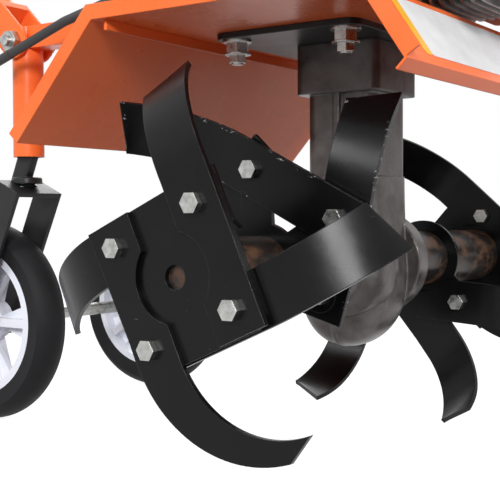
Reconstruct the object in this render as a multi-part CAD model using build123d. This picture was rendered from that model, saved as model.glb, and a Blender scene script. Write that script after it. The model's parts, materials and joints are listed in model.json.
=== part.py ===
from build123d import *
import math
import os

# Mini tiller: a gearbox column under a folded deck, four tined stars on one shaft, two transport wheels.
# Millimetres. X is forward, Y is to the machine's left and Z is up. While it is built, the zero of X and Y
# is under the middle of the rotor shaft and the floor is at zero. At the end all is moved along X so that
# the origin is the middle of the footprint.

# Rotor
AXLE_HEIGHT = 150.0
OUTER_STAR_Y = 255.0
INNER_STAR_Y = 155.0
LEFT_INNER_STAR_Y = 120.0
LEFT_OUTER_STAR_Y = 245.0
PLATE_THICKNESS = 4.0
TINE_THICKNESS = 4.0
TINE_WIDTH = 39.0
TINE_HOLE_PITCH = 74.0
INNER_HOLE_PITCH = 56.0
TINE_END_MARGIN = 18.0
BLADE_ROOT = TINE_HOLE_PITCH / 2 + TINE_END_MARGIN
OUTER_OFFSET = TINE_HOLE_PITCH / 2
FRONT_OFFSET = 53.0
TOP_OFFSET = 64.0
REAR_OFFSET = 55.0
LOW_EXTRA = 14.0
FLOOR_EXTRA = 7.0
LOW_EDGE_RUN = 103.0
LOW_EDGE_RISE = 14.5
HIGH_EDGE_RUN = 84.0
HIGH_EDGE_RISE = 11.5
EDGE_POWER = 1.8
BLADE_STATIONS = 4
TIP_LEAD = 14.0
WIDE_BEND = 96.0
TIGHT_BEND = 68.0
EARLY_BEND = BLADE_ROOT + 7.0
LATE_BEND = BLADE_ROOT + 22.0
SICKLE_NECK = 6.0
SICKLE_OUTER = (110.0, -23.0)
SICKLE_TIP = (139.0, 39.0)
SICKLE_HEEL = (127.0, 60.0)
SICKLE_INNER = (105.0, 7.0)
TINE_BOLT_RADIUS = 4.0
BOLT_HOLE_CLEARANCE = 0.3
HEX_ACROSS_FLATS = 13.0
HEX_HEIGHT = 5.5
BOLT_END = 3.0
PLATE_EDGE = 18.5
OUTER_PLATE_CORNER = 9.0
INNER_DISC_RADIUS = 36.0
INNER_ARM_WIDTH = 26.0
SHAFT_HOLE_RADIUS = 8.5
HUB_TUBE_RADIUS = 26.0
HUB_NOTCH_RADIUS = 31.0
HUB_TUBE_GAP = 5.0

# Gearbox
DRUM_RADIUS = 62.0
DRUM_WIDTH = 76.0
DRUM_RIB = 4.0
DRUM_FLANGE_RADIUS = 66.0
DRUM_FLANGE_WIDTH = 12.0
BOSS_RADIUS = 41.0
BOSS_REACH = 96.0
BOSS_RING_RADIUS = 31.6
SHAFT_RADIUS = 12.0
SHAFT_FIT = 0.05
COLUMN_SIDE = 64.0
COLUMN_FILLET = 10.0
COLUMN_RIB = 6.0
HEAD_SIDE = 78.0
HEAD_HEIGHT = 42.0
GEARBOX_X = -6.0
ENGINE_X = GEARBOX_X - 12.0
FLANGE_SIDE_X = 134.0
FLANGE_SIDE_Y = 204.0
FLANGE_THICKNESS = 5.0
DECK_BOLT_X = 51.0
DECK_BOLT_Y = 88.0
DECK_BOLT_RADIUS = 5.0
DECK_NUT_FLATS = 17.0
DECK_NUT_HEIGHT = 8.5
STUD_REACH = 20.0
LUG_THICKNESS = 8.0

# Deck
DECK_UNDERSIDE = 190.0
DECK_THICKNESS = 2.0
DECK_HALF_WIDTH = 206.0
DECK_LIP = 12.0
DECK_REAR_X = -122.0
DECK_FRONT_X = 106.0
REAR_FLAP_X = -204.0
REAR_FLAP_DROP = 90.0
FRONT_FLAP_X = 141.0
FRONT_FLAP_DROP = 52.0
FRONT_RETURN = 6.0
STIFFENER_DEPTH = 8.0

# Legs, wheels and forks
LEG_X = -280.0
LEG_Y = 121.0
LEG_RADIUS = 14.0
LEG_BOTTOM = 95.0
ARM_WIDTH = 20.0
ARM_HEIGHT = 20.0
ARM_FRONT_X = 20.0
WHEEL_X = -337.0
WHEEL_RADIUS = 93.0
WHEEL_WIDTH = 35.0
TYRE_DEPTH = 24.0
RIM_DEPTH = 7.0
WHEEL_HUB_RADIUS = 18.0
SPOKE_COUNT = 5
SPOKE_WIDTH = 16.0
AXLE_RADIUS = 6.5
WHEEL_FIT = 0.05
FORK_INNER = 47.0
FORK_PLATE = 4.0
FORK_LEG_WIDTH = 30.0
FORK_TOP_Z = 68.0
STRUT_RADIUS = 11.0
STRUT_INSERT = 60.0

# Handlebar
PIVOT_Z = 198.0
PIVOT_BOLT_RADIUS = 5.0
PIVOT_FIT = 0.05
CHEEK_CLEARANCE = 0.5
CHEEK_THICKNESS = 3.0
CHEEK_LENGTH = 34.0
CHEEK_WIDTH = 30.0
HANDLE_RADIUS = 14.0
HANDLE_BEND = 60.0
HANDLE_KNEE_X = -560.0
HANDLE_KNEE_Z = 470.0
HANDLE_TOP_X = -820.0
HANDLE_TOP_Z = 690.0
HANDLE_HALF_WIDTH = 250.0
GRIP_LENGTH = 120.0
GRIP_RADIUS = 16.5

# Engine, on a vertical crankshaft over the gearbox
CRANKCASE_RADIUS = 88.0
CRANKCASE_HEIGHT = 62.0
LUG_WIDTH = 28.0
CYLINDER_LENGTH = 78.0
FIN_COUNT = 7
FIN_THICKNESS = 2.6
FIN_SIDE_Y = 96.0
FIN_SIDE_Z = 84.0
CYLINDER_BORE_RADIUS = 33.0
SHROUD_RADIUS = 98.0
SHROUD_HEIGHT = 46.0
RECOIL_RADIUS = 74.0
RECOIL_HEIGHT = 34.0
TANK_LENGTH = 150.0
TANK_WIDTH = 84.0
TANK_HEIGHT = 78.0
MUFFLER_LENGTH = 84.0
MUFFLER_WIDTH = 48.0
MUFFLER_HEIGHT = 68.0
MUFFLER_PIPE_RADIUS = 9.0
GUARD_THICKNESS = 2.0
GUARD_SLOTS = 4
GUARD_SLOT_PITCH = 11.0
CARBURETTOR_SIDE = 34.0
CARBURETTOR_LENGTH = 30.0
CLEANER_LENGTH = 92.0
CLEANER_WIDTH = 44.0
CLEANER_HEIGHT = 76.0
CLEANER_RIBS = 5
CLEANER_RIB_PITCH = 14.0

# Control cable, held from the handlebar's pivot to the carburettor, and its upper run along the handlebar.
CABLE_RADIUS = 4.0
CABLE_ROUTE = ((-285.0, -158.0, 325.7), (-197.0, -158.0, 354.0), (-120.0, -150.0, 374.0), (-30.0, -104.0, 380.0))
UPPER_CABLE_START = ((-276.0, -166.8, 328.5), (-304.0, -166.8, 341.0))
CABLE_OFFSET = 20.0
CONTROL_BOX = (46.0, 58.0, 34.0)
CONTROL_PLACE = 0.72
LEVER_LENGTH = 104.0
LEVER_RADIUS = 4.5
LEVER_DROP = 36.0

DECK_TOP = DECK_UNDERSIDE + DECK_THICKNESS
WORLD_DECK = AXLE_HEIGHT + DECK_TOP


def side_plane(y=0.0, z=AXLE_HEIGHT, x=0.0):
    """Drawing plane seen from the machine's right: its x is forward and its y is up."""
    return Plane(origin=(x, y, z), x_dir=(1, 0, 0), z_dir=(0, -1, 0))


def bar_y(radius, y_low, y_high, x=0.0, z=0.0):
    """Round bar along Y, placed from the rotor axis."""
    start = Plane(origin=(x, y_low, AXLE_HEIGHT + z), x_dir=(1, 0, 0), z_dir=(0, 1, 0))
    return extrude(start * Circle(radius), amount=y_high - y_low)


def hexagon(flats):
    """Regular hexagon face of a given size across flats."""
    return RegularPolygon(radius=flats / 2, side_count=6, major_radius=False)


def box_between(low, high):
    """Box from its low corner to its high corner."""
    size = [b - a for a, b in zip(low, high)]
    middle = [(a + b) / 2 for a, b in zip(low, high)]
    return Pos(*middle) * Box(*size)


def keep_one(shape):
    """The largest solid of a shape."""
    return max(shape.solids(), key=lambda s: s.volume)


# Blades are drawn flat and then bent, in the star's own plane: x runs along the blade from the point
# nearest to the shaft, y runs away from its middle line and s is the length along the blade.
def blade_edges(s):
    """Distance of the low and the high edge from the blade's middle line at length s."""
    half = TINE_WIDTH / 2
    run = max(s - BLADE_ROOT, 0)
    low = -half + LOW_EDGE_RISE * (run / LOW_EDGE_RUN) ** EDGE_POWER
    high = half + HIGH_EDGE_RISE * (run / HIGH_EDGE_RUN) ** EDGE_POWER
    return low, high


def blade_point(row, s, y):
    """Place of a point of the flat blade after bending, and the turn of the sheet there."""
    turn = max(s - row["bend_start"], 0) / row["bend_radius"] if row["bend"] else 0.0
    x = min(s, row["bend_start"]) + row["bend_radius"] * math.sin(turn) if row["bend"] else s
    z = row["bend"] * row["bend_radius"] * (1 - math.cos(turn))
    return Vector(x, (-y if row["flip"] else y) - row["offset"], z), turn


def blade_section(row, s_low, s_high):
    """Cross-section of the bent blade between a point of its low edge and one of its high edge."""
    low, turn_low = blade_point(row, s_low, blade_edges(s_low)[0])
    high, turn_high = blade_point(row, s_high, blade_edges(s_high)[1])
    turn = (turn_low + turn_high) / 2
    outward = Vector(-row["bend"] * math.sin(turn), 0, math.cos(turn))
    across = high - low
    plane = Plane(origin=(low + high) / 2, x_dir=across, z_dir=across.cross(outward))
    return plane * Rectangle(across.length, TINE_THICKNESS)


def scoop(row, root):
    """Flat root and a blade that curves out of the star's plane, ending in a slanted tip."""
    start = row["bend_start"]
    low, high = blade_edges(start)
    half = TINE_WIDTH / 2
    outline = Polyline(
        (root, -half), (BLADE_ROOT, -half), (start, low), (start, high), (BLADE_ROOT, half), (root, half), close=True
    )
    flat = make_face(outline)
    if row["flip"]:
        flat = mirror(flat, about=Plane.XZ)
    flat = Pos(0, -row["offset"], -TINE_THICKNESS / 2) * flat
    tip_low = BLADE_ROOT + LOW_EDGE_RUN + row["extra"]
    tip_high = BLADE_ROOT + HIGH_EDGE_RUN + row["extra"]
    last = tip_high - TIP_LEAD
    steps = [start + (last - start) * i / BLADE_STATIONS for i in range(BLADE_STATIONS + 1)]
    sections = [blade_section(row, s, s) for s in steps]
    sections.append(blade_section(row, tip_low, tip_high))
    return extrude(flat, amount=TINE_THICKNESS) + loft(sections)


def sickle(row, root):
    """Flat blade that curves within the star's plane."""
    low = -row["offset"] - TINE_WIDTH / 2
    high = -row["offset"] + TINE_WIDTH / 2
    corner_low = (BLADE_ROOT, low + SICKLE_NECK)
    corner_high = (BLADE_ROOT, high + 2)
    outer = ThreePointArc(corner_low, SICKLE_OUTER, SICKLE_TIP)
    inner = ThreePointArc(SICKLE_HEEL, SICKLE_INNER, corner_high)
    back = Polyline(corner_high, (root, high), (root, low), corner_low)
    face = make_face(Wire([outer, Line(SICKLE_TIP, SICKLE_HEEL), inner, *back.edges()]))
    return extrude(Pos(0, 0, -TINE_THICKNESS / 2) * face, amount=TINE_THICKNESS)


# Columns of a star's table: turn of the blade in degrees, its distance from the shaft, its form, whether
# its outline is mirrored, its bend (1 to the machine's right, -1 to the left, 0 flat), radius and start
# of the bend, extra length, side of the plate (1 right, -1 left) and side of a bolt of its own.
COLUMNS = ("turn", "offset", "form", "flip", "bend", "bend_radius", "bend_start", "extra", "face", "own_bolt")
NEAR_STAR = (
    (24, OUTER_OFFSET, scoop, 0, -1, WIDE_BEND, EARLY_BEND, 0, -1, 0),
    (114, OUTER_OFFSET, scoop, 0, -1, WIDE_BEND, EARLY_BEND, 0, 1, 0),
    (204, OUTER_OFFSET, scoop, 0, -1, WIDE_BEND, EARLY_BEND, 0, -1, 0),
    (294, OUTER_OFFSET, sickle, 0, 0, WIDE_BEND, EARLY_BEND, 0, 1, 0),
)
RIGHT_INNER_STAR = (
    (74, FRONT_OFFSET, scoop, 0, -1, WIDE_BEND, LATE_BEND, 0, -1, -1),
    (153, TOP_OFFSET, scoop, 0, 1, WIDE_BEND, EARLY_BEND, 0, 1, 0),
    (227, REAR_OFFSET, scoop, 1, -1, WIDE_BEND, EARLY_BEND, 0, -1, 1),
)
LEFT_INNER_STAR = (
    (262, TOP_OFFSET, scoop, 1, 1, TIGHT_BEND, LATE_BEND, LOW_EXTRA, 1, 1),
    (310, OUTER_OFFSET, scoop, 1, 1, TIGHT_BEND, LATE_BEND, FLOOR_EXTRA, -1, 0),
    (356, OUTER_OFFSET, scoop, 1, -1, WIDE_BEND, EARLY_BEND, 0, 1, 1),
)
FAR_STAR = (
    (318, OUTER_OFFSET, sickle, 0, 0, WIDE_BEND, EARLY_BEND, 0, 1, -1),
    (48, OUTER_OFFSET, scoop, 0, 1, WIDE_BEND, EARLY_BEND, 0, -1, 0),
    (138, OUTER_OFFSET, scoop, 0, 1, WIDE_BEND, EARLY_BEND, 0, 1, 1),
)


def star_rows(table):
    """Rows of a star as dictionaries, each with the places of its bolts along the blade."""
    rows = [dict(zip(COLUMNS, values)) for values in table]
    for row in rows:
        row["bolts"] = []
    count = len(rows)
    pairs = [(i, i + 1) for i in range(count - 1)]
    if count == 4:
        pairs.append((3, 0))
    for i, j in pairs:
        first, second = rows[i], rows[j]
        between = math.radians(second["turn"] - first["turn"])
        a, b = first["offset"], second["offset"]
        first["bolts"].append((b - a * math.cos(between)) / math.sin(between))
        second["bolts"].append(-(a - b * math.cos(between)) / math.sin(between))
    for row in rows:
        if row["own_bolt"]:
            pitch = INNER_HOLE_PITCH if count == 3 and row["form"] is scoop else TINE_HOLE_PITCH
            row["bolts"].append(row["bolts"][0] + row["own_bolt"] * pitch)
    return rows


def bolt_spots(rows):
    """Bolt centres of a star in its plane, each once, with the sides of the plate that it clamps."""
    spots = []
    for row in rows:
        turn = math.radians(row["turn"])
        for s in row["bolts"]:
            x = s * math.cos(turn) + row["offset"] * math.sin(turn)
            y = s * math.sin(turn) - row["offset"] * math.cos(turn)
            known = [spot for spot in spots if math.hypot(spot[0] - x, spot[1] - y) < TINE_BOLT_RADIUS]
            if known:
                known[0][2].add(row["face"])
            else:
                spots.append((x, y, {row["face"]}))
    return spots


def star_frame(y):
    """Star's plane: z points to the machine's right."""
    return Location(side_plane(y))


def drill(body, spots):
    """Cut clearance holes for the tine bolts."""
    for spot in spots:
        body -= Pos(spot[0], spot[1], 0) * Cylinder(TINE_BOLT_RADIUS + BOLT_HOLE_CLEARANCE, 4 * TINE_WIDTH)
    return body


def tine(row, spots):
    """One tine in its star's plane, seated on its side of the plate."""
    lift = row["face"] * (PLATE_THICKNESS + TINE_THICKNESS) / 2
    root = min(row["bolts"]) - TINE_END_MARGIN
    body = Rot(0, 0, row["turn"]) * Pos(0, 0, lift) * row["form"](row, root)
    own = [spot for spot in spots if row["face"] in spot[2]]
    body = drill(body, own)
    body -= Cylinder(HUB_NOTCH_RADIUS, 40)
    return keep_one(body)


def tine_bolt(low, high):
    """Hex bolt through a stack from low to high, with its head on top and its nut below."""
    end = low - HEX_HEIGHT - BOLT_END
    shank = Pos(0, 0, end) * extrude(Circle(TINE_BOLT_RADIUS), amount=high - end)
    head = Pos(0, 0, high) * extrude(hexagon(HEX_ACROSS_FLATS), amount=HEX_HEIGHT)
    nut = Pos(0, 0, low - HEX_HEIGHT) * extrude(hexagon(HEX_ACROSS_FLATS), amount=HEX_HEIGHT)
    return keep_one(shank + head + nut)


def square_plate(spots, turn):
    """Square plate of an outer star, as wide as its bolts need."""
    side = TINE_HOLE_PITCH + 2 * PLATE_EDGE
    face = RectangleRounded(side, side, OUTER_PLATE_CORNER)
    body = Rot(0, 0, turn) * extrude(Pos(0, 0, -PLATE_THICKNESS / 2) * face, amount=PLATE_THICKNESS)
    body -= Cylinder(SHAFT_HOLE_RADIUS, 40)
    return keep_one(drill(body, spots))


def armed_plate(spots):
    """Plate of an inner star: a disc round the shaft with one slim arm to each bolt."""
    face = Circle(INNER_DISC_RADIUS)
    for x, y, faces in spots:
        arm = SlotCenterToCenter(math.hypot(x, y), INNER_ARM_WIDTH)
        face += Rot(0, 0, math.degrees(math.atan2(y, x))) * Pos(math.hypot(x, y) / 2, 0) * arm
    body = extrude(Pos(0, 0, -PLATE_THICKNESS / 2) * face, amount=PLATE_THICKNESS)
    body -= Cylinder(SHAFT_RADIUS, 40)
    return keep_one(drill(body, spots))


def rotor_parts():
    """Shaft with hub tubes, star plates, tines and bolts, all on one turning body."""
    parts = {"tine_bolts_right": [], "tine_bolts_left": []}
    stars = (
        ("right", "outer", -OUTER_STAR_Y, NEAR_STAR),
        ("right", "inner", -INNER_STAR_Y, RIGHT_INNER_STAR),
        ("left", "inner", LEFT_INNER_STAR_Y, LEFT_INNER_STAR),
        ("left", "outer", LEFT_OUTER_STAR_Y, FAR_STAR),
    )
    half_plate = PLATE_THICKNESS / 2
    shaft = bar_y(SHAFT_RADIUS, -OUTER_STAR_Y + half_plate, LEFT_OUTER_STAR_Y - half_plate)
    parts["rotor_shaft"] = [keep_one(shaft)]
    for side, level, y, table in stars:
        rows = star_rows(table)
        spots = bolt_spots(rows)
        frame = star_frame(y)
        plate = square_plate(spots, rows[0]["turn"]) if level == "outer" else armed_plate(spots)
        parts[level + "_plate_" + side] = [frame * plate]
        parts[level + "_tines_" + side] = [frame * tine(row, spots) for row in rows]
        for x, y_in_plane, faces in spots:
            low = -half_plate - (TINE_THICKNESS if -1 in faces else 0)
            high = half_plate + (TINE_THICKNESS if 1 in faces else 0)
            parts["tine_bolts_" + side].append(frame * Pos(x, y_in_plane, 0) * tine_bolt(low, high))
    tube_start = BOSS_REACH + HUB_TUBE_GAP
    for side, sign, inner_y, outer_y in (
        ("right", -1, INNER_STAR_Y, OUTER_STAR_Y),
        ("left", 1, LEFT_INNER_STAR_Y, LEFT_OUTER_STAR_Y),
    ):
        tube = []
        for low, high in ((tube_start, inner_y - half_plate), (inner_y + half_plate, outer_y - half_plate)):
            ends = sorted((sign * low, sign * high))
            tube.append(keep_one(bar_y(HUB_TUBE_RADIUS, *ends) - bar_y(SHAFT_RADIUS, *ends)))
        parts["hub_tube_" + side] = tube
    return parts


def gearbox_parts():
    """Cast gearbox: round drum on the rotor axis, square column, head and the flange plate above."""
    parts = {}
    head_top = DECK_UNDERSIDE - FLANGE_THICKNESS
    head_bottom = head_top - HEAD_HEIGHT
    half = DRUM_WIDTH / 2
    for side, sign in (("right", -1), ("left", 1)):
        low, high = sorted((0, sign * half))
        case = bar_y(DRUM_RADIUS, low, high)
        low, high = sorted((0, sign * DRUM_FLANGE_WIDTH / 2))
        case += bar_y(DRUM_FLANGE_RADIUS, low, high)
        low, high = sorted((sign * half, sign * (half + 16)))
        start = Plane(origin=(0, sign * half, AXLE_HEIGHT), x_dir=(1, 0, 0), z_dir=(0, sign, 0))
        case += extrude(start * Circle(DRUM_RADIUS - 8), amount=16, taper=30)
        low, high = sorted((sign * half, sign * BOSS_REACH))
        case += bar_y(BOSS_RADIUS, low, high)
        low, high = sorted((sign * (BOSS_REACH), sign * (BOSS_REACH + 3)))
        case += bar_y(BOSS_RING_RADIUS, low, high)
        for turn in range(0, 360, 45):
            rib = Box(DRUM_RADIUS - BOSS_RADIUS, 20, DRUM_RIB)
            middle = (DRUM_RADIUS + BOSS_RADIUS) / 2 - 4
            spoke = Pos(0, sign * (half + 6), AXLE_HEIGHT) * Rot(0, turn, 0) * Pos(middle, 0, 0) * rib
            case += spoke
        case -= bar_y(SHAFT_RADIUS + SHAFT_FIT, -BOSS_REACH - 5, BOSS_REACH + 5)
        parts["gearbox_case_" + side] = [keep_one(case)]
    column = Pos(GEARBOX_X, 0, 0) * box_between(
        (-COLUMN_SIDE / 2, -COLUMN_SIDE / 2, AXLE_HEIGHT + 30),
        (COLUMN_SIDE / 2, COLUMN_SIDE / 2, AXLE_HEIGHT + head_bottom),
    )
    column = fillet(column.edges().filter_by(Axis.Z), COLUMN_FILLET)
    for sign in (-1, 1):
        column += box_between(
            (GEARBOX_X - COLUMN_RIB / 2, min(0, sign * (COLUMN_SIDE / 2 + 4)), AXLE_HEIGHT + 30),
            (GEARBOX_X + COLUMN_RIB / 2, max(0, sign * (COLUMN_SIDE / 2 + 4)), AXLE_HEIGHT + head_bottom),
        )
    head = Pos(GEARBOX_X, 0, AXLE_HEIGHT + head_bottom + HEAD_HEIGHT / 2) * Box(HEAD_SIDE, HEAD_SIDE, HEAD_HEIGHT)
    head = fillet(head.edges().filter_by(Axis.Z), 8)
    column += head
    column -= bar_y(DRUM_RADIUS, -half, half)
    column -= bar_y(DRUM_FLANGE_RADIUS, -DRUM_FLANGE_WIDTH / 2, DRUM_FLANGE_WIDTH / 2)
    parts["gearbox_column"] = [keep_one(column)]
    flange_middle = Pos(ENGINE_X, 0, AXLE_HEIGHT + head_top + FLANGE_THICKNESS / 2)
    flange = flange_middle * Box(FLANGE_SIDE_X, FLANGE_SIDE_Y, FLANGE_THICKNESS)
    flange = fillet(flange.edges().filter_by(Axis.Z), 12)
    bolts = []
    for sx in (-1, 1):
        for sy in (-1, 1):
            spot = Pos(ENGINE_X + sx * DECK_BOLT_X, sy * DECK_BOLT_Y, 0)
            hole = spot * Pos(0, 0, AXLE_HEIGHT + head_top) * Cylinder(DECK_BOLT_RADIUS + BOLT_HOLE_CLEARANCE, 60)
            flange -= hole
            bolts.append(spot * deck_bolt(AXLE_HEIGHT + head_top, WORLD_DECK + LUG_THICKNESS))
    parts["engine_flange"] = [keep_one(flange)]
    parts["deck_bolts"] = bolts
    return parts


def deck_bolt(low, high):
    """Hanging stud with washer and two nuts under the flange, and its head on the deck."""
    stack = ((12.0, 2.0, None), (None, DECK_NUT_HEIGHT, DECK_NUT_FLATS), (11.0, 1.6, None), (None, 6.5, 13.0))
    body = Pos(0, 0, low - STUD_REACH) * extrude(Circle(DECK_BOLT_RADIUS), amount=high - low + STUD_REACH)
    level = low
    for radius, height, flats in stack:
        face = Circle(radius) if radius else hexagon(flats)
        body += Pos(0, 0, level - height) * extrude(face, amount=height)
        level -= height
    body += Pos(0, 0, high) * extrude(Circle(11), amount=2)
    body += Pos(0, 0, high + 2) * extrude(hexagon(DECK_NUT_FLATS), amount=7)
    return keep_one(body)


def deck_outline():
    """The folded sheet's underside in side view, from the rear flap to the front flap's return."""
    low_rear = DECK_UNDERSIDE - REAR_FLAP_DROP
    low_front = DECK_UNDERSIDE - FRONT_FLAP_DROP
    return [
        (REAR_FLAP_X, low_rear),
        (DECK_REAR_X, DECK_UNDERSIDE),
        (DECK_FRONT_X, DECK_UNDERSIDE),
        (FRONT_FLAP_X, low_front),
        (FRONT_FLAP_X - FRONT_RETURN, low_front - 6),
    ]


def deck_parts():
    """Folded sheet over the tines, with a lip along each side."""
    points = deck_outline()
    sheet_face = offset_strip(points, DECK_THICKNESS)
    start = side_plane(-DECK_HALF_WIDTH)
    sheet = extrude(start * sheet_face, amount=-2 * DECK_HALF_WIDTH)
    lip_face = offset_strip(points[:4], DECK_LIP)
    for y in (-DECK_HALF_WIDTH, DECK_HALF_WIDTH - DECK_THICKNESS):
        sheet += extrude(side_plane(y) * lip_face, amount=-DECK_THICKNESS)
    for sx in (-1, 1):
        for sy in (-1, 1):
            spot = Pos(ENGINE_X + sx * DECK_BOLT_X, sy * DECK_BOLT_Y, WORLD_DECK)
            sheet -= spot * Cylinder(DECK_BOLT_RADIUS + BOLT_HOLE_CLEARANCE, 60)
    bar = box_between(
        (DECK_REAR_X + 8, -DECK_HALF_WIDTH + 6, AXLE_HEIGHT + DECK_UNDERSIDE - STIFFENER_DEPTH),
        (DECK_REAR_X + 11, DECK_HALF_WIDTH - 6, AXLE_HEIGHT + DECK_UNDERSIDE),
    )
    return {"deck": [keep_one(sheet)], "deck_stiffener": [keep_one(bar)]}


def offset_strip(points, thickness):
    """Closed strip of even thickness over a row of points, mitred at each corner."""
    count = len(points)
    upper = []
    for i in range(count):
        before = points[max(i - 1, 0)]
        here = points[i]
        after = points[min(i + 1, count - 1)]
        normals = []
        for a, b in ((before, here), (here, after)):
            length = math.hypot(b[0] - a[0], b[1] - a[1])
            if length > 0:
                normals.append((-(b[1] - a[1]) / length, (b[0] - a[0]) / length))
        nx = sum(n[0] for n in normals) / len(normals)
        ny = sum(n[1] for n in normals) / len(normals)
        scale = thickness / (nx * nx + ny * ny)
        upper.append((here[0] + nx * scale, here[1] + ny * scale))
    return make_face(Polyline(*points, *reversed(upper), close=True))


def leg_parts():
    """Upright leg tubes behind the deck, each on an arm that is bolted down on the deck."""
    legs = []
    arms = []
    arm_z = AXLE_HEIGHT + DECK_TOP + ARM_HEIGHT / 2
    for sign in (-1, 1):
        y = sign * LEG_Y
        bottom = AXLE_HEIGHT + LEG_BOTTOM
        top = AXLE_HEIGHT + PIVOT_Z + LEG_RADIUS
        leg = Pos(LEG_X, y, bottom) * extrude(Circle(LEG_RADIUS), amount=top - bottom)
        leg -= Pos(LEG_X, y, bottom) * extrude(Circle(STRUT_RADIUS), amount=STRUT_INSERT)
        leg -= y_rod(LEG_X, AXLE_HEIGHT + PIVOT_Z, PIVOT_BOLT_RADIUS + BOLT_HOLE_CLEARANCE, y - 30, y + 30)
        legs.append(keep_one(leg))
        arm = box_between(
            (LEG_X, y - ARM_WIDTH / 2, arm_z - ARM_HEIGHT / 2), (ARM_FRONT_X, y + ARM_WIDTH / 2, arm_z + ARM_HEIGHT / 2)
        )
        arm -= Pos(LEG_X, y, bottom) * extrude(Circle(LEG_RADIUS), amount=top - bottom + 20)
        arm -= Pos(0, 0, 0) * box_between((LEG_X - 30, y - 30, arm_z - 30), (LEG_X, y + 30, arm_z + 30))
        arms.append(keep_one(arm))
    return {"leg_tubes": legs, "leg_arms": arms}


def tube_along(path, radius):
    """Round bar swept along a path of straight runs and arcs."""
    start = Plane(origin=path @ 0, z_dir=path % 0)
    return keep_one(sweep(start * Circle(radius), path=path))


def y_rod(x, z, radius, low, high):
    """Round rod along Y at a height over the floor."""
    start = Plane(origin=(x, low, z), x_dir=(1, 0, 0), z_dir=(0, 1, 0))
    return extrude(start * Circle(radius), amount=high - low)


def y_hexagon(x, z, flats, low, high):
    """Hexagonal prism along Y at a height over the floor."""
    start = Plane(origin=(x, low, z), x_dir=(1, 0, 0), z_dir=(0, 1, 0))
    return extrude(start * hexagon(flats), amount=high - low)


def running_gear():
    """Leg tubes, wheel struts, forks, axle and wheels."""
    parts = leg_parts()
    parts.update({"wheel_struts": [], "wheel_forks": []})
    strut_bottom = AXLE_HEIGHT + FORK_TOP_Z
    strut_top = AXLE_HEIGHT + LEG_BOTTOM + STRUT_INSERT
    axle_z = WHEEL_RADIUS
    inner = FORK_INNER / 2
    for sign in (-1, 1):
        y = sign * LEG_Y
        strut = Pos(LEG_X, y, strut_bottom) * extrude(Circle(STRUT_RADIUS), amount=strut_top - strut_bottom)
        parts["wheel_struts"].append(strut.solids()[0])
        outer = inner + FORK_PLATE
        drop = math.hypot(LEG_X - WHEEL_X, strut_bottom - axle_z)
        lean = math.degrees(math.atan2(LEG_X - WHEEL_X, strut_bottom - axle_z))
        frame = Pos(WHEEL_X, y, axle_z) * Rot(0, lean, 0)
        bridge = box_between((-FORK_LEG_WIDTH / 2, -outer, drop - FORK_PLATE), (FORK_LEG_WIDTH / 2, outer, drop))
        fork = bridge
        for side in (-1, 1):
            a, b = sorted((side * inner, side * outer))
            arm = box_between((-FORK_LEG_WIDTH / 2, a, 0), (FORK_LEG_WIDTH / 2, b, drop))
            round_end = extrude(side_plane(a, 0) * Circle(FORK_LEG_WIDTH / 2), amount=-(b - a))
            fork += arm + round_end
        fork -= extrude(side_plane(-60, 0) * Circle(AXLE_RADIUS), amount=-120)
        fork = frame * fork
        fork -= Pos(LEG_X, y, strut_bottom) * extrude(Circle(STRUT_RADIUS), amount=60)
        parts["wheel_forks"].append(keep_one(fork))
        name = "right" if sign < 0 else "left"
        parts["tyre_" + name] = [Pos(WHEEL_X, y, axle_z) * Rot(90, 0, 0) * tyre()]
        parts["wheel_hub_" + name] = [Pos(WHEEL_X, y, axle_z) * Rot(90, 0, 0) * wheel_hub()]
    reach = LEG_Y + inner + FORK_PLATE + 8
    axle = extrude(Plane(origin=(WHEEL_X, -reach, axle_z), x_dir=(1, 0, 0), z_dir=(0, 1, 0)) * Circle(AXLE_RADIUS), amount=2 * reach)
    parts["wheel_axle"] = [keep_one(axle)]
    cross_z = AXLE_HEIGHT + LEG_BOTTOM + 30
    gap = LEG_Y - LEG_RADIUS
    cross = extrude(Plane(origin=(LEG_X, -gap - 3, cross_z), x_dir=(1, 0, 0), z_dir=(0, 1, 0)) * Circle(10), amount=2 * gap + 6)
    for leg in parts["leg_tubes"]:
        cross -= leg
    parts["cross_tube"] = [keep_one(cross)]
    hitch = box_between((LEG_X - 40, -22, cross_z - 3), (LEG_X - 8, 22, cross_z + 3))
    hitch -= extrude(Plane(origin=(LEG_X - 28, 0, cross_z - 10)) * Circle(6), amount=30)
    for leg in parts["cross_tube"]:
        hitch -= leg
    parts["hitch_plate"] = [keep_one(hitch)]
    return parts


def tyre():
    """Tyre turned about Z: round tread with flat sides over the rim."""
    half = WHEEL_WIDTH / 2
    rim = WHEEL_RADIUS - TYRE_DEPTH
    face = make_face(Wire([
        Line((rim, -half + 3), (WHEEL_RADIUS - 10, -half)),
        ThreePointArc((WHEEL_RADIUS - 10, -half), (WHEEL_RADIUS, 0), (WHEEL_RADIUS - 10, half)),
        Line((WHEEL_RADIUS - 10, half), (rim, half - 3)),
        Line((rim, half - 3), (rim, -half + 3)),
    ]))
    return keep_one(revolve(Plane.XZ * face, axis=Axis.Z))


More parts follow.
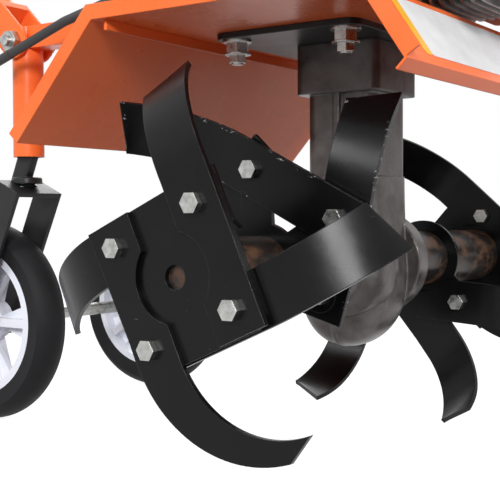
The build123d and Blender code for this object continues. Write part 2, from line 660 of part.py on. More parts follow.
def wheel_hub():
    """Moulded hub: rim, spokes and a bored boss."""
    half = WHEEL_WIDTH / 2 - 3
    rim = WHEEL_RADIUS - TYRE_DEPTH
    ring = extrude(Pos(0, 0, -half) * Circle(rim), amount=2 * half)
    ring -= extrude(Pos(0, 0, -half) * Circle(rim - RIM_DEPTH), amount=2 * half)
    web = extrude(Pos(0, 0, -3) * Circle(rim - 3), amount=6)
    web -= extrude(Pos(0, 0, -3) * Circle(WHEEL_HUB_RADIUS), amount=6)
    for i in range(SPOKE_COUNT):
        turn = 360 / SPOKE_COUNT * (i + 0.5)
        window = Pos(0, 0, -3) * Rot(0, 0, turn) * Pos((rim - RIM_DEPTH + WHEEL_HUB_RADIUS) / 2, 0, 0)
        size = rim - RIM_DEPTH - WHEEL_HUB_RADIUS - 6
        web -= window * extrude(Trapezoid(size + 4, size, 72, rotation=90), amount=6)
    hub = ring + web + extrude(Pos(0, 0, -half) * Circle(WHEEL_HUB_RADIUS), amount=2 * half)
    for i in range(SPOKE_COUNT):
        turn = 360 / SPOKE_COUNT * i
        spoke = box_between((WHEEL_HUB_RADIUS - 3, -4, -half + 3), (rim - 2, 4, half - 3))
        hub += Rot(0, 0, turn) * spoke
    hub -= extrude(Pos(0, 0, -half) * Circle(AXLE_RADIUS + WHEEL_FIT), amount=2 * half)
    return keep_one(hub)


def handlebar_parts():
    """Handlebar on two pivot bolts through the leg tubes."""
    parts = {}
    pivot_z = AXLE_HEIGHT + PIVOT_Z
    cheek_gap = LEG_RADIUS + CHEEK_CLEARANCE
    cheek_out = cheek_gap + CHEEK_THICKNESS
    tubes, grips, cheeks, bolts = [], [], [], []
    lean = math.atan2(HANDLE_KNEE_Z - PIVOT_Z, LEG_X - HANDLE_KNEE_X)
    start_x = LEG_X - CHEEK_LENGTH * math.cos(lean)
    start_z = pivot_z + CHEEK_LENGTH * math.sin(lean)
    for sign in (-1, 1):
        y = sign * LEG_Y
        path = FilletPolyline(
            (start_x, y, start_z),
            (HANDLE_KNEE_X, y, AXLE_HEIGHT + HANDLE_KNEE_Z),
            (HANDLE_TOP_X + 60, sign * HANDLE_HALF_WIDTH, AXLE_HEIGHT + HANDLE_TOP_Z),
            (HANDLE_TOP_X - GRIP_LENGTH, sign * HANDLE_HALF_WIDTH, AXLE_HEIGHT + HANDLE_TOP_Z),
            radius=HANDLE_BEND,
        )
        tubes.append(tube_along(path, HANDLE_RADIUS))
        pair = []
        for side in (-1, 1):
            low, high = sorted((side * cheek_gap, side * cheek_out))
            frame = Pos(LEG_X, y, pivot_z) * Rot(0, math.degrees(lean), 0)
            cheek = box_between((-CHEEK_LENGTH - 8, low, -CHEEK_WIDTH / 2), (0, high, CHEEK_WIDTH / 2))
            cheek += y_rod(0, 0, CHEEK_WIDTH / 2, low, high)
            cheek -= y_rod(0, 0, PIVOT_BOLT_RADIUS + PIVOT_FIT, low - 1, high + 1)
            pair.append(frame * cheek)
        bridge = box_between(
            (-CHEEK_LENGTH - 8, -cheek_out, -CHEEK_WIDTH / 2), (-CHEEK_LENGTH, cheek_out, CHEEK_WIDTH / 2)
        )
        clevis = pair[0] + pair[1] + Pos(LEG_X, y, pivot_z) * Rot(0, math.degrees(lean), 0) * bridge
        clevis -= tubes[-1]
        cheeks.append(keep_one(clevis))
        grip_plane = Plane(
            origin=(HANDLE_TOP_X, sign * HANDLE_HALF_WIDTH, AXLE_HEIGHT + HANDLE_TOP_Z), x_dir=(0, 1, 0), z_dir=(-1, 0, 0)
        )
        grip = extrude(grip_plane * Circle(GRIP_RADIUS), amount=GRIP_LENGTH + 6)
        grip -= extrude(grip_plane * Circle(HANDLE_RADIUS), amount=GRIP_LENGTH)
        grips.append(keep_one(grip))
        bolt = y_rod(LEG_X, pivot_z, PIVOT_BOLT_RADIUS, y - cheek_out - 12, y + cheek_out + 12)
        bolt += y_hexagon(LEG_X, pivot_z, 17, y - cheek_out - 7, y - cheek_out - 0.3)
        bolt += y_hexagon(LEG_X, pivot_z, 17, y + cheek_out + 0.3, y + cheek_out + 7)
        bolts.append(keep_one(bolt))
    knee = Vector(HANDLE_KNEE_X, -LEG_Y, AXLE_HEIGHT + HANDLE_KNEE_Z)
    top = Vector(HANDLE_TOP_X + 60, -HANDLE_HALF_WIDTH, AXLE_HEIGHT + HANDLE_TOP_Z)
    rise = (top - knee).normalized()
    outward = Vector(0, -1, 0)
    control_frame = Plane(origin=knee + (top - knee) * CONTROL_PLACE, x_dir=rise.cross(outward), z_dir=rise)
    control = fillet(Box(*CONTROL_BOX).edges(), 5)
    control = control_frame * Pos(0, -CABLE_OFFSET / 2, 0) * control
    control -= tubes[0]
    parts["throttle_box"] = [keep_one(control)]
    offset = Vector(0, -CABLE_OFFSET, 0)
    run = list(UPPER_CABLE_START)
    run.append(Vector(start_x - 26, -LEG_Y, start_z + 26 * math.tan(lean)) + offset)
    run.append(knee + offset)
    run.append(control_frame.origin + offset - rise * CONTROL_BOX[2] / 2)
    upper = tube_along(FilletPolyline(*run, radius=30), CABLE_RADIUS)
    parts["upper_cable"] = [keep_one(upper - control)]
    lever_z = AXLE_HEIGHT + HANDLE_TOP_Z
    lever_x = HANDLE_TOP_X + 16
    clamp = extrude(
        Plane(origin=(lever_x, HANDLE_HALF_WIDTH, lever_z), x_dir=(0, 1, 0), z_dir=(-1, 0, 0)) * Circle(HANDLE_RADIUS + 5),
        amount=14,
    )
    clamp -= tubes[1]
    lever = tube_along(
        FilletPolyline(
            (lever_x - 7, HANDLE_HALF_WIDTH, lever_z - HANDLE_RADIUS - 2),
            (lever_x - 7, HANDLE_HALF_WIDTH, lever_z - LEVER_DROP),
            (lever_x - 7 - LEVER_LENGTH, HANDLE_HALF_WIDTH, lever_z - LEVER_DROP + 4),
            radius=12,
        ),
        LEVER_RADIUS,
    )
    parts["clutch_lever"] = [keep_one(clamp + lever)]
    parts["handle_tubes"] = tubes
    parts["handle_clevises"] = cheeks
    parts["handle_grips"] = grips
    parts["pivot_bolts"] = bolts
    cross_x = (LEG_X + HANDLE_KNEE_X) / 2
    cross_z = (pivot_z + AXLE_HEIGHT + HANDLE_KNEE_Z) / 2
    cross = y_rod(cross_x, cross_z, 9, -LEG_Y, LEG_Y)
    for tube in tubes:
        cross -= tube
    parts["handle_crossbar"] = [keep_one(cross)]
    return parts


def engine_parts():
    """Upright-shaft engine: crankcase on the deck, finned cylinder to the front, shroud and starter above."""
    parts = {}
    base = WORLD_DECK
    x = ENGINE_X
    top = base + CRANKCASE_HEIGHT
    case = Pos(x, 0, base) * extrude(Circle(CRANKCASE_RADIUS), amount=CRANKCASE_HEIGHT)
    case = fillet(case.edges().sort_by(Axis.Z)[-1], 10)
    for sx in (-1, 1):
        for sy in (-1, 1):
            reach = math.hypot(DECK_BOLT_X, DECK_BOLT_Y)
            turn = math.degrees(math.atan2(sy * DECK_BOLT_Y, sx * DECK_BOLT_X))
            lug = Pos(x, 0, base) * Rot(0, 0, turn) * Pos(reach / 2, 0) * SlotCenterToCenter(reach, LUG_WIDTH)
            case += extrude(lug, amount=LUG_THICKNESS)
            spot = Pos(x + sx * DECK_BOLT_X, sy * DECK_BOLT_Y, base)
            case -= spot * Cylinder(DECK_BOLT_RADIUS + BOLT_HOLE_CLEARANCE, 3 * LUG_THICKNESS)
    parts["crankcase"] = [keep_one(case)]
    mid_z = base + 52
    cyl_start = x + CRANKCASE_RADIUS - 12
    axis = Plane(origin=(cyl_start, 0, mid_z), x_dir=(0, 1, 0), z_dir=(1, 0, 0))
    cylinder = extrude(axis * Circle(CYLINDER_BORE_RADIUS), amount=CYLINDER_LENGTH)
    step = (CYLINDER_LENGTH - 20) / FIN_COUNT
    for i in range(FIN_COUNT):
        fin = Plane(origin=(cyl_start + 16 + i * step, 0, mid_z), x_dir=(0, 1, 0), z_dir=(1, 0, 0))
        cylinder += extrude(fin * RectangleRounded(FIN_SIDE_Y, FIN_SIDE_Z, 12), amount=FIN_THICKNESS)
    cylinder -= Pos(x, 0, base) * extrude(Circle(CRANKCASE_RADIUS), amount=CRANKCASE_HEIGHT)
    parts["cylinder"] = [keep_one(cylinder)]
    head_x = cyl_start + CYLINDER_LENGTH
    head_plane = Plane(origin=(head_x, 0, mid_z), x_dir=(0, 1, 0), z_dir=(1, 0, 0))
    head = extrude(head_plane * RectangleRounded(FIN_SIDE_Y, FIN_SIDE_Z, 14), amount=22)
    parts["cylinder_head"] = [keep_one(head)]
    plug_plane = Plane(origin=(head_x + 22, 0, mid_z), x_dir=(0, 1, 0), z_dir=(1, 0, 0))
    plug = extrude(plug_plane * hexagon(16), amount=8) + extrude(plug_plane * Circle(6), amount=26)
    parts["spark_plug"] = [keep_one(plug)]
    shroud = Pos(x, 0, top) * extrude(Circle(SHROUD_RADIUS), amount=SHROUD_HEIGHT)
    nose = box_between((x, -52, top), (head_x + 26, 52, top + SHROUD_HEIGHT - 8))
    shroud += nose
    shroud -= box_between((cyl_start, -49, top - 4), (head_x + 23, 49, mid_z + FIN_SIDE_Z / 2 + 1))
    parts["blower_shroud"] = [keep_one(shroud)]
    deck_z = top + SHROUD_HEIGHT
    recoil = Pos(x, 0, deck_z) * extrude(Circle(RECOIL_RADIUS), amount=RECOIL_HEIGHT, taper=6)
    for i in range(12):
        slot = Pos(x, 0, deck_z + RECOIL_HEIGHT - 5) * Rot(0, 0, 30 * i) * Pos(48, 0, 5) * Box(26, 7, 12)
        recoil -= slot
    parts["recoil_cover"] = [keep_one(recoil)]
    tank = box_between(
        (x - SHROUD_RADIUS - TANK_WIDTH - 2, -TANK_LENGTH / 2, base + 40),
        (x - SHROUD_RADIUS - 2, TANK_LENGTH / 2, base + 40 + TANK_HEIGHT),
    )
    tank = fillet(tank.edges(), 14)
    parts["fuel_tank"] = [keep_one(tank)]
    cap = Pos(x - SHROUD_RADIUS - TANK_WIDTH / 2, 25, base + 40 + TANK_HEIGHT) * extrude(Circle(22), amount=16)
    parts["fuel_cap"] = [keep_one(cap)]
    stay = box_between(
        (x - SHROUD_RADIUS - TANK_WIDTH + 14, -30, base + 36), (x - CRANKCASE_RADIUS + 12, 30, base + 40)
    )
    stay -= Pos(x, 0, base) * extrude(Circle(CRANKCASE_RADIUS), amount=CRANKCASE_HEIGHT)
    parts["tank_stay"] = [keep_one(stay)]
    muffler_middle = Pos(head_x - 20, FIN_SIDE_Y / 2 + 8 + MUFFLER_WIDTH / 2, mid_z - 2)
    muffler = fillet(Box(MUFFLER_LENGTH, MUFFLER_WIDTH, MUFFLER_HEIGHT).edges(), 10)
    pipe = y_rod(head_x - 20, mid_z, MUFFLER_PIPE_RADIUS, FIN_SIDE_Y / 2, FIN_SIDE_Y / 2 + 12)
    parts["muffler"] = [keep_one(muffler_middle * muffler + pipe)]
    guard_y = FIN_SIDE_Y / 2 + 8 + MUFFLER_WIDTH
    guard = Box(MUFFLER_LENGTH - 16, GUARD_THICKNESS, MUFFLER_HEIGHT - 16)
    for i in range(GUARD_SLOTS):
        z = (i - (GUARD_SLOTS - 1) / 2) * GUARD_SLOT_PITCH
        guard -= Pos(0, 0, z) * Box(MUFFLER_LENGTH - 36, 2 * GUARD_THICKNESS, GUARD_SLOT_PITCH / 2)
    parts["muffler_guard"] = [Pos(head_x - 20, guard_y + GUARD_THICKNESS / 2, mid_z - 2) * guard]
    carb_x = head_x - 30
    carb_low = -FIN_SIDE_Y / 2 - CARBURETTOR_LENGTH
    carb_z = mid_z - 8
    carb = box_between(
        (carb_x - CARBURETTOR_SIDE / 2, carb_low, carb_z - CARBURETTOR_SIDE / 2),
        (carb_x + CARBURETTOR_SIDE / 2, -FIN_SIDE_Y / 2, carb_z + CARBURETTOR_SIDE / 2),
    )
    parts["carburettor"] = [keep_one(carb)]
    cleaner = fillet(Box(CLEANER_LENGTH, CLEANER_WIDTH, CLEANER_HEIGHT).edges(), 9)
    for i in range(CLEANER_RIBS):
        rib_x = (i - (CLEANER_RIBS - 1) / 2) * CLEANER_RIB_PITCH
        cleaner += Pos(rib_x, -CLEANER_WIDTH / 2, 0) * Box(CLEANER_RIB_PITCH / 3, 4, CLEANER_HEIGHT - 30)
    parts["air_cleaner"] = [keep_one(Pos(carb_x, carb_low - CLEANER_WIDTH / 2, mid_z) * cleaner)]
    grip_spot = Plane(origin=(x - RECOIL_RADIUS + 2, 0, deck_z + RECOIL_HEIGHT / 2), x_dir=(0, 1, 0), z_dir=(-1, 0, 0))
    starter = extrude(grip_spot * Circle(5), amount=8)
    starter += extrude(grip_spot * Pos(0, 0, 8) * SlotCenterToCenter(26, 14), amount=14)
    parts["starter_grip"] = [keep_one(starter - recoil)]
    cable_end = (carb_x - CARBURETTOR_SIDE / 2 + 1, -FIN_SIDE_Y / 2 - 9, carb_z)
    cable = tube_along(FilletPolyline(*CABLE_ROUTE, cable_end, radius=25), CABLE_RADIUS)
    parts["control_cable"] = [keep_one(cable - carb)]
    return parts


def build():
    parts = {}
    parts.update(rotor_parts())
    parts.update(gearbox_parts())
    parts.update(deck_parts())
    parts.update(running_gear())
    parts.update(handlebar_parts())
    parts.update(engine_parts())
    return parts


def write(parts):
    boxes = [s.bounding_box() for solids in parts.values() for s in solids]
    low_x = min(b.min.X for b in boxes)
    high_x = max(b.max.X for b in boxes)
    low_z = min(b.min.Z for b in boxes)
    shift = Pos(-(low_x + high_x) / 2, 0, -low_z)
    print("shift", -(low_x + high_x) / 2, -low_z)
    os.makedirs("parts", exist_ok=True)
    for name, solids in sorted(parts.items()):
        placed = [shift * s for s in solids]
        shape = placed[0] if len(placed) == 1 else Compound(children=placed)
        export_step(shape, os.path.join("parts", name + ".step"))


write(build())
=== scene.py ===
import json
import math

import bmesh
import bpy
from mathutils import Matrix, Vector


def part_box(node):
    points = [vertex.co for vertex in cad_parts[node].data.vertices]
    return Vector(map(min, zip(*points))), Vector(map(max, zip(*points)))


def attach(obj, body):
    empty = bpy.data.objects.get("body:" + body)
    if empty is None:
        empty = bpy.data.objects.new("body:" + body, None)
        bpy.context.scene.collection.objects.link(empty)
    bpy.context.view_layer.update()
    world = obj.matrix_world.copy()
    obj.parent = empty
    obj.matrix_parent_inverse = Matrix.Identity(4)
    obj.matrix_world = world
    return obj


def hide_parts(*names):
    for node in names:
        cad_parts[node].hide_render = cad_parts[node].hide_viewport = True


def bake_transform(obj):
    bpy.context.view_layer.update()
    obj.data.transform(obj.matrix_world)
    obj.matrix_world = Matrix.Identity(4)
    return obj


# Mini tiller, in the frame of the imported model. Lengths are in metres, apart from the tables of the casing, the wheel
# struts and the cable, which are in mm.

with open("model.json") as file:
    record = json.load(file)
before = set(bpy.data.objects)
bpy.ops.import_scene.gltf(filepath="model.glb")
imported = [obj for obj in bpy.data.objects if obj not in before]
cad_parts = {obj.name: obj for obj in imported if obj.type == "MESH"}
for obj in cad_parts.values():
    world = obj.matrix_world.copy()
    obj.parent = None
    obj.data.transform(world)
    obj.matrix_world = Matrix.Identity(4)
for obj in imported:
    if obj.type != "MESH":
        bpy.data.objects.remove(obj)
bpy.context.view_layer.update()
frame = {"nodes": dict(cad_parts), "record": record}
nodes = frame["nodes"]
scene = bpy.context.scene
scene.view_settings.view_transform = "Standard"


# Camera: placed from the middle of the rotor shaft.
CAMERA_FROM_SHAFT = (0.43167, -0.79276, 0.03932)
CAMERA_YAW = 34.74
CAMERA_PITCH = 1.78
CAMERA_ROLL = 0.18
CAMERA_LENS = 75.13
SENSOR = 36.0


def shaft_middle():
    """Point of the rotor axis in the machine's middle plane."""
    low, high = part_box("rotor_shaft")
    return Vector(((low[0] + high[0]) / 2, 0.0, (low[2] + high[2]) / 2))


def make_camera():
    yaw, pitch, roll = (math.radians(a) for a in (CAMERA_YAW, CAMERA_PITCH, CAMERA_ROLL))
    ahead = Vector((-math.sin(yaw) * math.cos(pitch), math.cos(yaw) * math.cos(pitch), -math.sin(pitch)))
    right = Vector((math.cos(yaw), math.sin(yaw), 0.0))
    down = ahead.cross(right)
    right_rolled = math.cos(roll) * right + math.sin(roll) * down
    down_rolled = -math.sin(roll) * right + math.cos(roll) * down
    data = bpy.data.cameras.new("camera")
    data.lens = CAMERA_LENS
    data.sensor_width = SENSOR
    data.clip_start = 0.01
    data.clip_end = 60.0
    camera = bpy.data.objects.new("camera", data)
    scene.collection.objects.link(camera)
    turn = Matrix((right_rolled, -down_rolled, -ahead)).transposed()
    place = Matrix.Translation(shaft_middle() + Vector(CAMERA_FROM_SHAFT))
    camera.matrix_world = place @ turn.to_4x4()
    scene.camera = camera


make_camera()


EDGE_SAMPLES = 4
ROUNDING_SAMPLES = 6

# Radii, in metres, that the edges of each finish seem rounded with, and those of rubbed or chipped bands.
TINE_ROUNDING = 0.0009
ORANGE_ROUNDING = 0.0013
ZINC_ROUNDING = 0.0006
CASTING_ROUNDING = 0.0030
PAINT_ROUNDING = 0.0014
TINE_RUB = 0.0009
CASTING_RUB = 0.0012
PAINT_RUB = 0.0008
CHIP_BAND = 0.0045

TINE_GLOSS = 0.17
TINE_ROUGHNESS = (0.23, 0.31)

# Colours of the finishes: two that lie over the surface in clouds, and those of marks on them.
TINE_BLACK = (0.0018, 0.0018, 0.0022)
TINE_DUSTY = (0.0040, 0.0040, 0.0046)
TINE_RUBBED = (0.060, 0.060, 0.064)
TINE_SCRATCH = (0.22, 0.22, 0.22)
CHIP_RUBBED = (0.07, 0.07, 0.07)
CHIP_PALE = (0.62, 0.62, 0.62)
ORANGE_DEEP = (0.86, 0.145, 0.030)
ORANGE_BRIGHT = (0.92, 0.168, 0.036)
ORANGE_DUST = (0.55, 0.30, 0.20)
ORANGE_SPECK = (0.42, 0.20, 0.12)
ZINC_DARK = (0.33, 0.33, 0.32)
ZINC_BRIGHT = (0.50, 0.505, 0.485)
SHAFT_BLACK = (0.014, 0.012, 0.011)
# Brown of the shaft's rust patches, which also serve as a painted reflection of the orange deck.
SHAFT_RUST_AND_REFLECTION = (0.080, 0.038, 0.020)
CASTING_DARK = (0.062, 0.054, 0.051)
CASTING_PALE = (0.122, 0.112, 0.109)
CASTING_RUBBED = (0.30, 0.29, 0.28)
ALLOY_DARK = (0.36, 0.36, 0.36)
ALLOY_PALE = (0.50, 0.50, 0.49)
TYRE_DARK = (0.0070, 0.0070, 0.0080)
TYRE_PALE = (0.0130, 0.0130, 0.0150)
PLASTIC_DARK = (0.77, 0.78, 0.86)
PLASTIC_PALE = (0.83, 0.84, 0.90)
PAINT_RUBBED = (0.12, 0.12, 0.12)
MUFFLER_DARK = (0.10, 0.095, 0.09)
MUFFLER_PALE = (0.24, 0.20, 0.17)


class Maker:
    """One material's node tree, with short calls for the nodes that the finishes share."""

    def __init__(self, name):
        self.material = bpy.data.materials.new(name)
        self.material.use_nodes = True
        self.tree = self.material.node_tree
        self.tree.nodes.clear()
        self.output = self.tree.nodes.new("ShaderNodeOutputMaterial")
        self.shader = self.tree.nodes.new("ShaderNodeBsdfPrincipled")
        self.link(self.shader.outputs[0], self.output.inputs[0])
        self.coordinates = self.tree.nodes.new("ShaderNodeTexCoord").outputs["Object"]

    def link(self, a, b):
        self.tree.links.new(a, b)

    def set(self, **values):
        for name, value in values.items():
            self.shader.inputs[name.replace("_", " ")].default_value = value

    def mapped(self, scale, turn=(0, 0, 0)):
        node = self.tree.nodes.new("ShaderNodeMapping")
        node.inputs["Scale"].default_value = scale
        node.inputs["Rotation"].default_value = [math.radians(a) for a in turn]
        self.link(self.coordinates, node.inputs[0])
        return node.outputs[0]

    def noise(self, scale, detail, roughness, source=None):
        node = self.tree.nodes.new("ShaderNodeTexNoise")
        node.inputs["Scale"].default_value = scale
        node.inputs["Detail"].default_value = detail
        node.inputs["Roughness"].default_value = roughness
        self.link(source or self.coordinates, node.inputs["Vector"])
        return node.outputs["Fac"]

    def cells(self, scale):
        node = self.tree.nodes.new("ShaderNodeTexVoronoi")
        node.inputs["Scale"].default_value = scale
        self.link(self.coordinates, node.inputs["Vector"])
        return node.outputs["Distance"]

    def ramp(self, source, low, high, to_low=0.0, to_high=1.0):
        node = self.tree.nodes.new("ShaderNodeMapRange")
        node.inputs["From Min"].default_value = low
        node.inputs["From Max"].default_value = high
        node.inputs["To Min"].default_value = to_low
        node.inputs["To Max"].default_value = to_high
        self.link(source, node.inputs["Value"])
        return node.outputs[0]

    def math(self, kind, a, b):
        node = self.tree.nodes.new("ShaderNodeMath")
        node.operation = kind
        for i, value in enumerate((a, b)):
            if hasattr(value, "links"):
                self.link(value, node.inputs[i])
            else:
                node.inputs[i].default_value = value
        return node.outputs[0]

    def mix(self, factor, a, b):
        node = self.tree.nodes.new("ShaderNodeMix")
        node.data_type = "RGBA"
        for name, value in (("Factor", factor), ("A", a), ("B", b)):
            socket = [s for s in node.inputs if s.name == name and s.enabled][0]
            if hasattr(value, "links"):
                self.link(value, socket)
            else:
                socket.default_value = value if name == "Factor" else (*value, 1.0)
        return [s for s in node.outputs if s.enabled][0]

    def bevel(self, radius, samples):
        """Normal that turns smoothly over edges within radius."""
        node = self.tree.nodes.new("ShaderNodeBevel")
        node.samples = samples
        node.inputs["Radius"].default_value = radius
        return node.outputs[0]

    def bumps(self, *layers, rounding=None):
        """Bump from (height, distance in metres, strength) rows, one on another.

        With a rounding radius, the edges under them catch light as if they were rounded.
        """
        last = None if rounding is None else self.bevel(rounding, ROUNDING_SAMPLES)
        for height, distance, strength in layers:
            node = self.tree.nodes.new("ShaderNodeBump")
            node.inputs["Distance"].default_value = distance
            node.inputs["Strength"].default_value = strength
            self.link(height, node.inputs["Height"])
            if last is not None:
                self.link(last, node.inputs["Normal"])
            last = node.outputs[0]
        self.link(last, self.shader.inputs["Normal"])

    def edge(self, radius, low=0.02, high=0.12):
        """1 near a sharp edge, 0 away from it."""
        dot = self.tree.nodes.new("ShaderNodeVectorMath")
        dot.operation = "DOT_PRODUCT"
        self.link(self.bevel(radius, EDGE_SAMPLES), dot.inputs[0])
        self.link(self.tree.nodes.new("ShaderNodeNewGeometry").outputs["Normal"], dot.inputs[1])
        return self.ramp(dot.outputs["Value"], 1.0 - low, 1.0 - high)

    def base(self, socket):
        self.link(socket, self.shader.inputs["Base Color"])

    def rough(self, socket):
        self.link(socket, self.shader.inputs["Roughness"])


def tine_black():
    """Satin black paint on flat steel, with fine scratches and rubbed edges."""
    m = Maker("tine_black")
    haze = m.noise(14.0, 4.0, 0.6)
    fine = m.noise(900.0, 2.0, 0.5)
    strokes = m.noise(60.0, 5.0, 0.7, m.mapped((1.0, 1.0, 14.0), (0, 38, 20)))
    scratch = m.ramp(strokes, 0.69, 0.72)
    specks = m.ramp(m.noise(330.0, 3.0, 0.6), 0.75, 0.775)
    patches = m.ramp(m.noise(20.0, 3.0, 0.5), 0.58, 0.66)
    worn = m.math("MULTIPLY", specks, patches)
    marks = m.math("MAXIMUM", m.math("MULTIPLY", scratch, m.ramp(haze, 0.5, 0.62)), worn)
    rubbed = m.math("MULTIPLY", m.edge(TINE_RUB), m.ramp(m.noise(95.0, 4.0, 0.7), 0.46, 0.68, 0.0, 0.75))
    dust = m.ramp(haze, 0.3, 0.75)
    colour = m.mix(dust, TINE_BLACK, TINE_DUSTY)
    colour = m.mix(rubbed, colour, TINE_RUBBED)
    colour = m.mix(marks, colour, TINE_SCRATCH)
    m.base(colour)
    m.rough(m.ramp(haze, 0.3, 0.7, *TINE_ROUGHNESS))
    m.set(Specular_IOR_Level=TINE_GLOSS)
    m.bumps((fine, 0.00004, 0.5), (strokes, 0.00006, 0.25), rounding=TINE_ROUNDING)
    return m.material


def chipped_black():
    """The same black with pale chips along the edges, where stones took the paint off."""
    m = Maker("tine_black_chipped")
    haze = m.noise(14.0, 4.0, 0.6)
    fine = m.noise(900.0, 2.0, 0.5)
    colour = m.mix(m.ramp(haze, 0.3, 0.75), TINE_BLACK, TINE_DUSTY)
    chips = m.ramp(m.noise(150.0, 5.0, 0.65, m.mapped((1.0, 1.0, 2.2), (0, 25, 0))), 0.58, 0.61)
    zone = m.math("MULTIPLY", m.ramp(m.noise(26.0, 3.0, 0.5), 0.48, 0.54), m.edge(CHIP_BAND, 0.004, 0.04))
    colour = m.mix(m.math("MULTIPLY", chips, zone), colour, CHIP_PALE)
    rubbed = m.math("MULTIPLY", m.edge(TINE_RUB), m.ramp(m.noise(95.0, 4.0, 0.7), 0.42, 0.66, 0.0, 0.8))
    m.base(m.mix(rubbed, colour, CHIP_RUBBED))
    m.rough(m.ramp(haze, 0.3, 0.7, *TINE_ROUGHNESS))
    m.set(Specular_IOR_Level=TINE_GLOSS)
    m.bumps((fine, 0.00004, 0.5), rounding=TINE_ROUNDING)
    return m.material


def orange_paint():
    """Orange powder coat with a slight orange peel and a little dust."""
    m = Maker("orange_paint")
    peel = m.noise(420.0, 2.0, 0.4)
    wave = m.noise(9.0, 2.0, 0.5)
    dust = m.ramp(m.noise(16.0, 5.0, 0.6), 0.42, 0.8)
    colour = m.mix(m.ramp(wave, 0.3, 0.7), ORANGE_DEEP, ORANGE_BRIGHT)
    colour = m.mix(m.math("MULTIPLY", dust, 0.10), colour, ORANGE_DUST)
    specks = m.math("MULTIPLY", m.ramp(m.noise(700.0, 2.0, 0.5), 0.74, 0.77), dust)
    colour = m.mix(specks, colour, ORANGE_SPECK)
    m.base(colour)
    m.rough(m.ramp(dust, 0.0, 1.0, 0.26, 0.40))
    m.set(Specular_IOR_Level=0.22)
    m.bumps((peel, 0.00005, 0.35), (wave, 0.0012, 0.10), rounding=ORANGE_ROUNDING)
    return m.material


def zinc():
    """Zinc plate, a little yellow and cloudy."""
    m = Maker("zinc")
    cloud = m.noise(180.0, 3.0, 0.6)
    fine = m.noise(1500.0, 3.0, 0.6)
    m.base(m.mix(m.ramp(cloud, 0.35, 0.7), ZINC_DARK, ZINC_BRIGHT))
    m.rough(m.ramp(cloud, 0.35, 0.7, 0.24, 0.42))
    m.set(Metallic=1.0)
    m.bumps((fine, 0.00003, 0.6), rounding=ZINC_ROUNDING)
    return m.material


def shaft_black():
    """Black tube with rust showing through where it is rubbed; the same brown patches are also a painted reflection of
    the orange deck.
    """
    m = Maker("shaft_black")
    # Brown patches: rust, and a painted reflection of the orange deck on the black tube.
    rust_and_reflection = m.ramp(m.noise(70.0, 4.0, 0.65, m.mapped((1.0, 0.6, 1.0))), 0.48, 0.66)
    colour = m.mix(rust_and_reflection, SHAFT_BLACK, SHAFT_RUST_AND_REFLECTION)
    m.base(colour)
    m.rough(m.ramp(rust_and_reflection, 0.0, 1.0, 0.30, 0.50))
    m.set(Specular_IOR_Level=0.30)
    m.bumps((m.noise(300.0, 3.0, 0.6), 0.0001, 0.25))
    return m.material


def casting():
    """Sand-cast housing, brownish grey, with paler edges."""
    m = Maker("casting")
    grain = m.noise(520.0, 4.0, 0.65)
    lumps = m.noise(60.0, 3.0, 0.5)
    colour = m.mix(m.ramp(lumps, 0.35, 0.7), CASTING_DARK, CASTING_PALE)
    edge = m.math("MULTIPLY", m.edge(CASTING_RUB), m.ramp(m.noise(140.0, 3.0, 0.6), 0.4, 0.7, 0.0, 0.6))
    m.base(m.mix(edge, colour, CASTING_RUBBED))
    m.rough(m.ramp(lumps, 0.3, 0.7, 0.26, 0.40))
    m.set(Metallic=0.5, Specular_IOR_Level=0.35)
    m.bumps((grain, 0.00022, 0.55), (lumps, 0.0006, 0.25), rounding=CASTING_ROUNDING)
    return m.material


def engine_alloy():
    """Bare die-cast alloy."""
    m = Maker("engine_alloy")
    grain = m.noise(700.0, 4.0, 0.6)
    cloud = m.noise(35.0, 3.0, 0.5)
    m.base(m.mix(m.ramp(cloud, 0.35, 0.7), ALLOY_DARK, ALLOY_PALE))
    m.rough(m.ramp(cloud, 0.3, 0.7, 0.38, 0.55))
    m.set(Metallic=0.85)
    m.bumps((grain, 0.00012, 0.5))
    return m.material


def tyre_rubber():
    """Smooth dark rubber, a little cloudy."""
    m = Maker("tyre")
    cloud = m.noise(45.0, 4.0, 0.6)
    fine = m.noise(1300.0, 3.0, 0.6)
    m.base(m.mix(m.ramp(cloud, 0.35, 0.75), TYRE_DARK, TYRE_PALE))
    m.rough(m.ramp(cloud, 0.3, 0.7, 0.52, 0.68))
    m.set(Specular_IOR_Level=0.16)
    m.bumps((fine, 0.00006, 0.6), (cloud, 0.0005, 0.12))
    return m.material


def pale_plastic():
    """Moulded grey-white plastic."""
    m = Maker("pale_plastic")
    fine = m.noise(900.0, 2.0, 0.5)
    cloud = m.noise(22.0, 3.0, 0.5)
    m.base(m.mix(m.ramp(cloud, 0.35, 0.75), PLASTIC_DARK, PLASTIC_PALE))
    m.rough(m.ramp(cloud, 0.3, 0.7, 0.34, 0.46))
    m.set(Subsurface_Weight=0.05)
    m.bumps((fine, 0.00005, 0.4))
    return m.material


def dark_plastic(name, colour, roughness):
    """Moulded dark plastic with a fine leather-like grain."""
    m = Maker(name)
    grain = m.cells(1100.0)
    cloud = m.noise(18.0, 3.0, 0.5)
    lighter = tuple(c * 1.6 + 0.004 for c in colour)
    m.base(m.mix(m.ramp(cloud, 0.35, 0.75), colour, lighter))
    m.rough(m.ramp(cloud, 0.3, 0.7, roughness - 0.06, roughness + 0.06))
    m.bumps((grain, 0.00008, 0.5))
    return m.material


